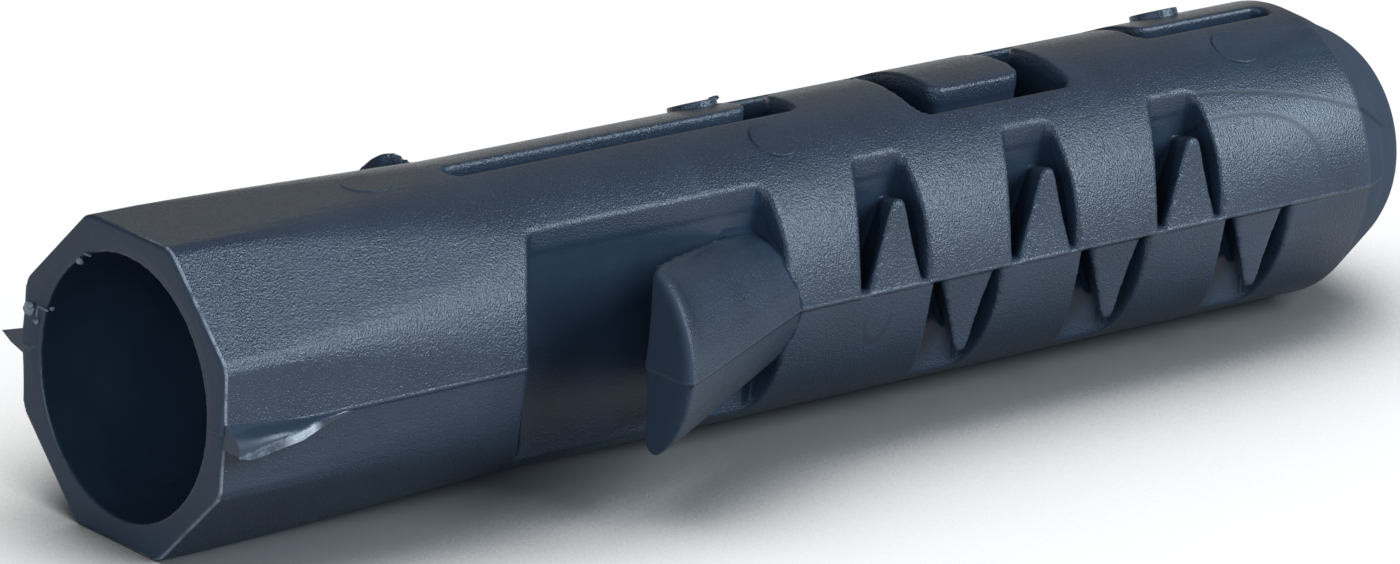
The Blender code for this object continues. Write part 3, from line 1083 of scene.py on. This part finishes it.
def make_camera():
    azimuth, elevation = math.radians(VIEW_AZIMUTH), math.radians(VIEW_ELEVATION)
    roll = math.radians(VIEW_ROLL)
    back = Vector(
        (
            math.sin(azimuth) * math.cos(elevation),
            -math.cos(azimuth) * math.cos(elevation),
            math.sin(elevation),
        )
    )
    level = Vector((math.cos(azimuth), math.sin(azimuth), 0.0))
    upright = back.cross(level)
    right = math.cos(roll) * level + math.sin(roll) * upright
    up = math.cos(roll) * upright - math.sin(roll) * level
    place = (Vector(VIEW_TARGET) + back * VIEW_DISTANCE) * BODY_RADIUS + AXIS_START
    data = bpy.data.cameras.new("camera")
    data.sensor_width = SENSOR_WIDTH
    data.lens = VIEW_FOCAL_PIXELS * SENSOR_WIDTH / PHOTO_WIDTH
    data.clip_start = CLIP_START
    camera = add_object("camera", data)
    camera.matrix_world = Matrix(
        (
            (right.x, up.x, back.x, place.x),
            (right.y, up.y, back.y, place.y),
            (right.z, up.z, back.z, place.z),
            (0.0, 0.0, 0.0, 1.0),
        )
    )
    bpy.context.scene.camera = camera


# Operators and panel -----------------------------------------------------------------------------


class WALLPLUG_OT_stage(Operator):
    """Set up the floor, the lamps and the photograph's camera"""

    bl_idname = "wall_plug.stage"
    bl_label = "Studio"

    def execute(self, context):
        make_camera()
        make_floor()
        make_lights()
        context.scene.view_settings.view_transform = "Standard"
        return {"FINISHED"}


class WALLPLUG_OT_skin(Operator):
    """Lay the moulded skin over the plug"""

    bl_idname = "wall_plug.skin"
    bl_label = "Moulded Skin"

    def execute(self, context):
        make_skin(nylon(SKIN_NYLON))
        return {"FINISHED"}


class WALLPLUG_OT_mould_marks(Operator):
    """Add the ejector pin marks, the flash and burrs at the mouth, and the stray specks"""

    bl_idname = "wall_plug.mould_marks"
    bl_label = "Mould Marks"

    def execute(self, context):
        make_pin_marks(bpy.data.materials[SKIN_NYLON])
        make_flash(nylon("flash nylon", finish="film"))
        make_specks("mouth_burrs", MOUTH_BURRS, nylon("torn nylon", finish="burr"))
        make_specks("stray_specks", STRAY_SPECKS, bpy.data.materials[SKIN_NYLON])
        return {"FINISHED"}


class WALLPLUG_PT_panel(Panel):
    bl_label = "Wall Plug"
    bl_idname = "WALLPLUG_PT_panel"
    bl_space_type = "VIEW_3D"
    bl_region_type = "UI"
    bl_category = "Wall Plug"

    def draw(self, context):
        layout = self.layout
        for group, operators in (
            (context.scene.wall_plug_moulding, (WALLPLUG_OT_skin, WALLPLUG_OT_mould_marks)),
            (context.scene.wall_plug_nylon, ()),
            (context.scene.wall_plug_studio, (WALLPLUG_OT_stage,)),
        ):
            box = layout.box()
            for name in group.__annotations__:
                box.prop(group, name)
            for operator in operators:
                box.operator(operator.bl_idname)


SETTINGS = {
    "wall_plug_moulding": WallPlugMoulding,
    "wall_plug_nylon": WallPlugNylon,
    "wall_plug_studio": WallPlugStudio,
}
CLASSES = (
    *SETTINGS.values(),
    WALLPLUG_OT_stage,
    WALLPLUG_OT_skin,
    WALLPLUG_OT_mould_marks,
    WALLPLUG_PT_panel,
)


def register():
    for kind in CLASSES:
        bpy.utils.register_class(kind)
    for name, group in SETTINGS.items():
        setattr(bpy.types.Scene, name, PointerProperty(type=group))


def unregister():
    for name in SETTINGS:
        delattr(bpy.types.Scene, name)
    for kind in reversed(CLASSES):
        bpy.utils.unregister_class(kind)


def main():
    register()
    bpy.ops.wall_plug.stage()
    bpy.ops.wall_plug.skin()
    bpy.ops.wall_plug.mould_marks()


if __name__ == "__main__":
    main()
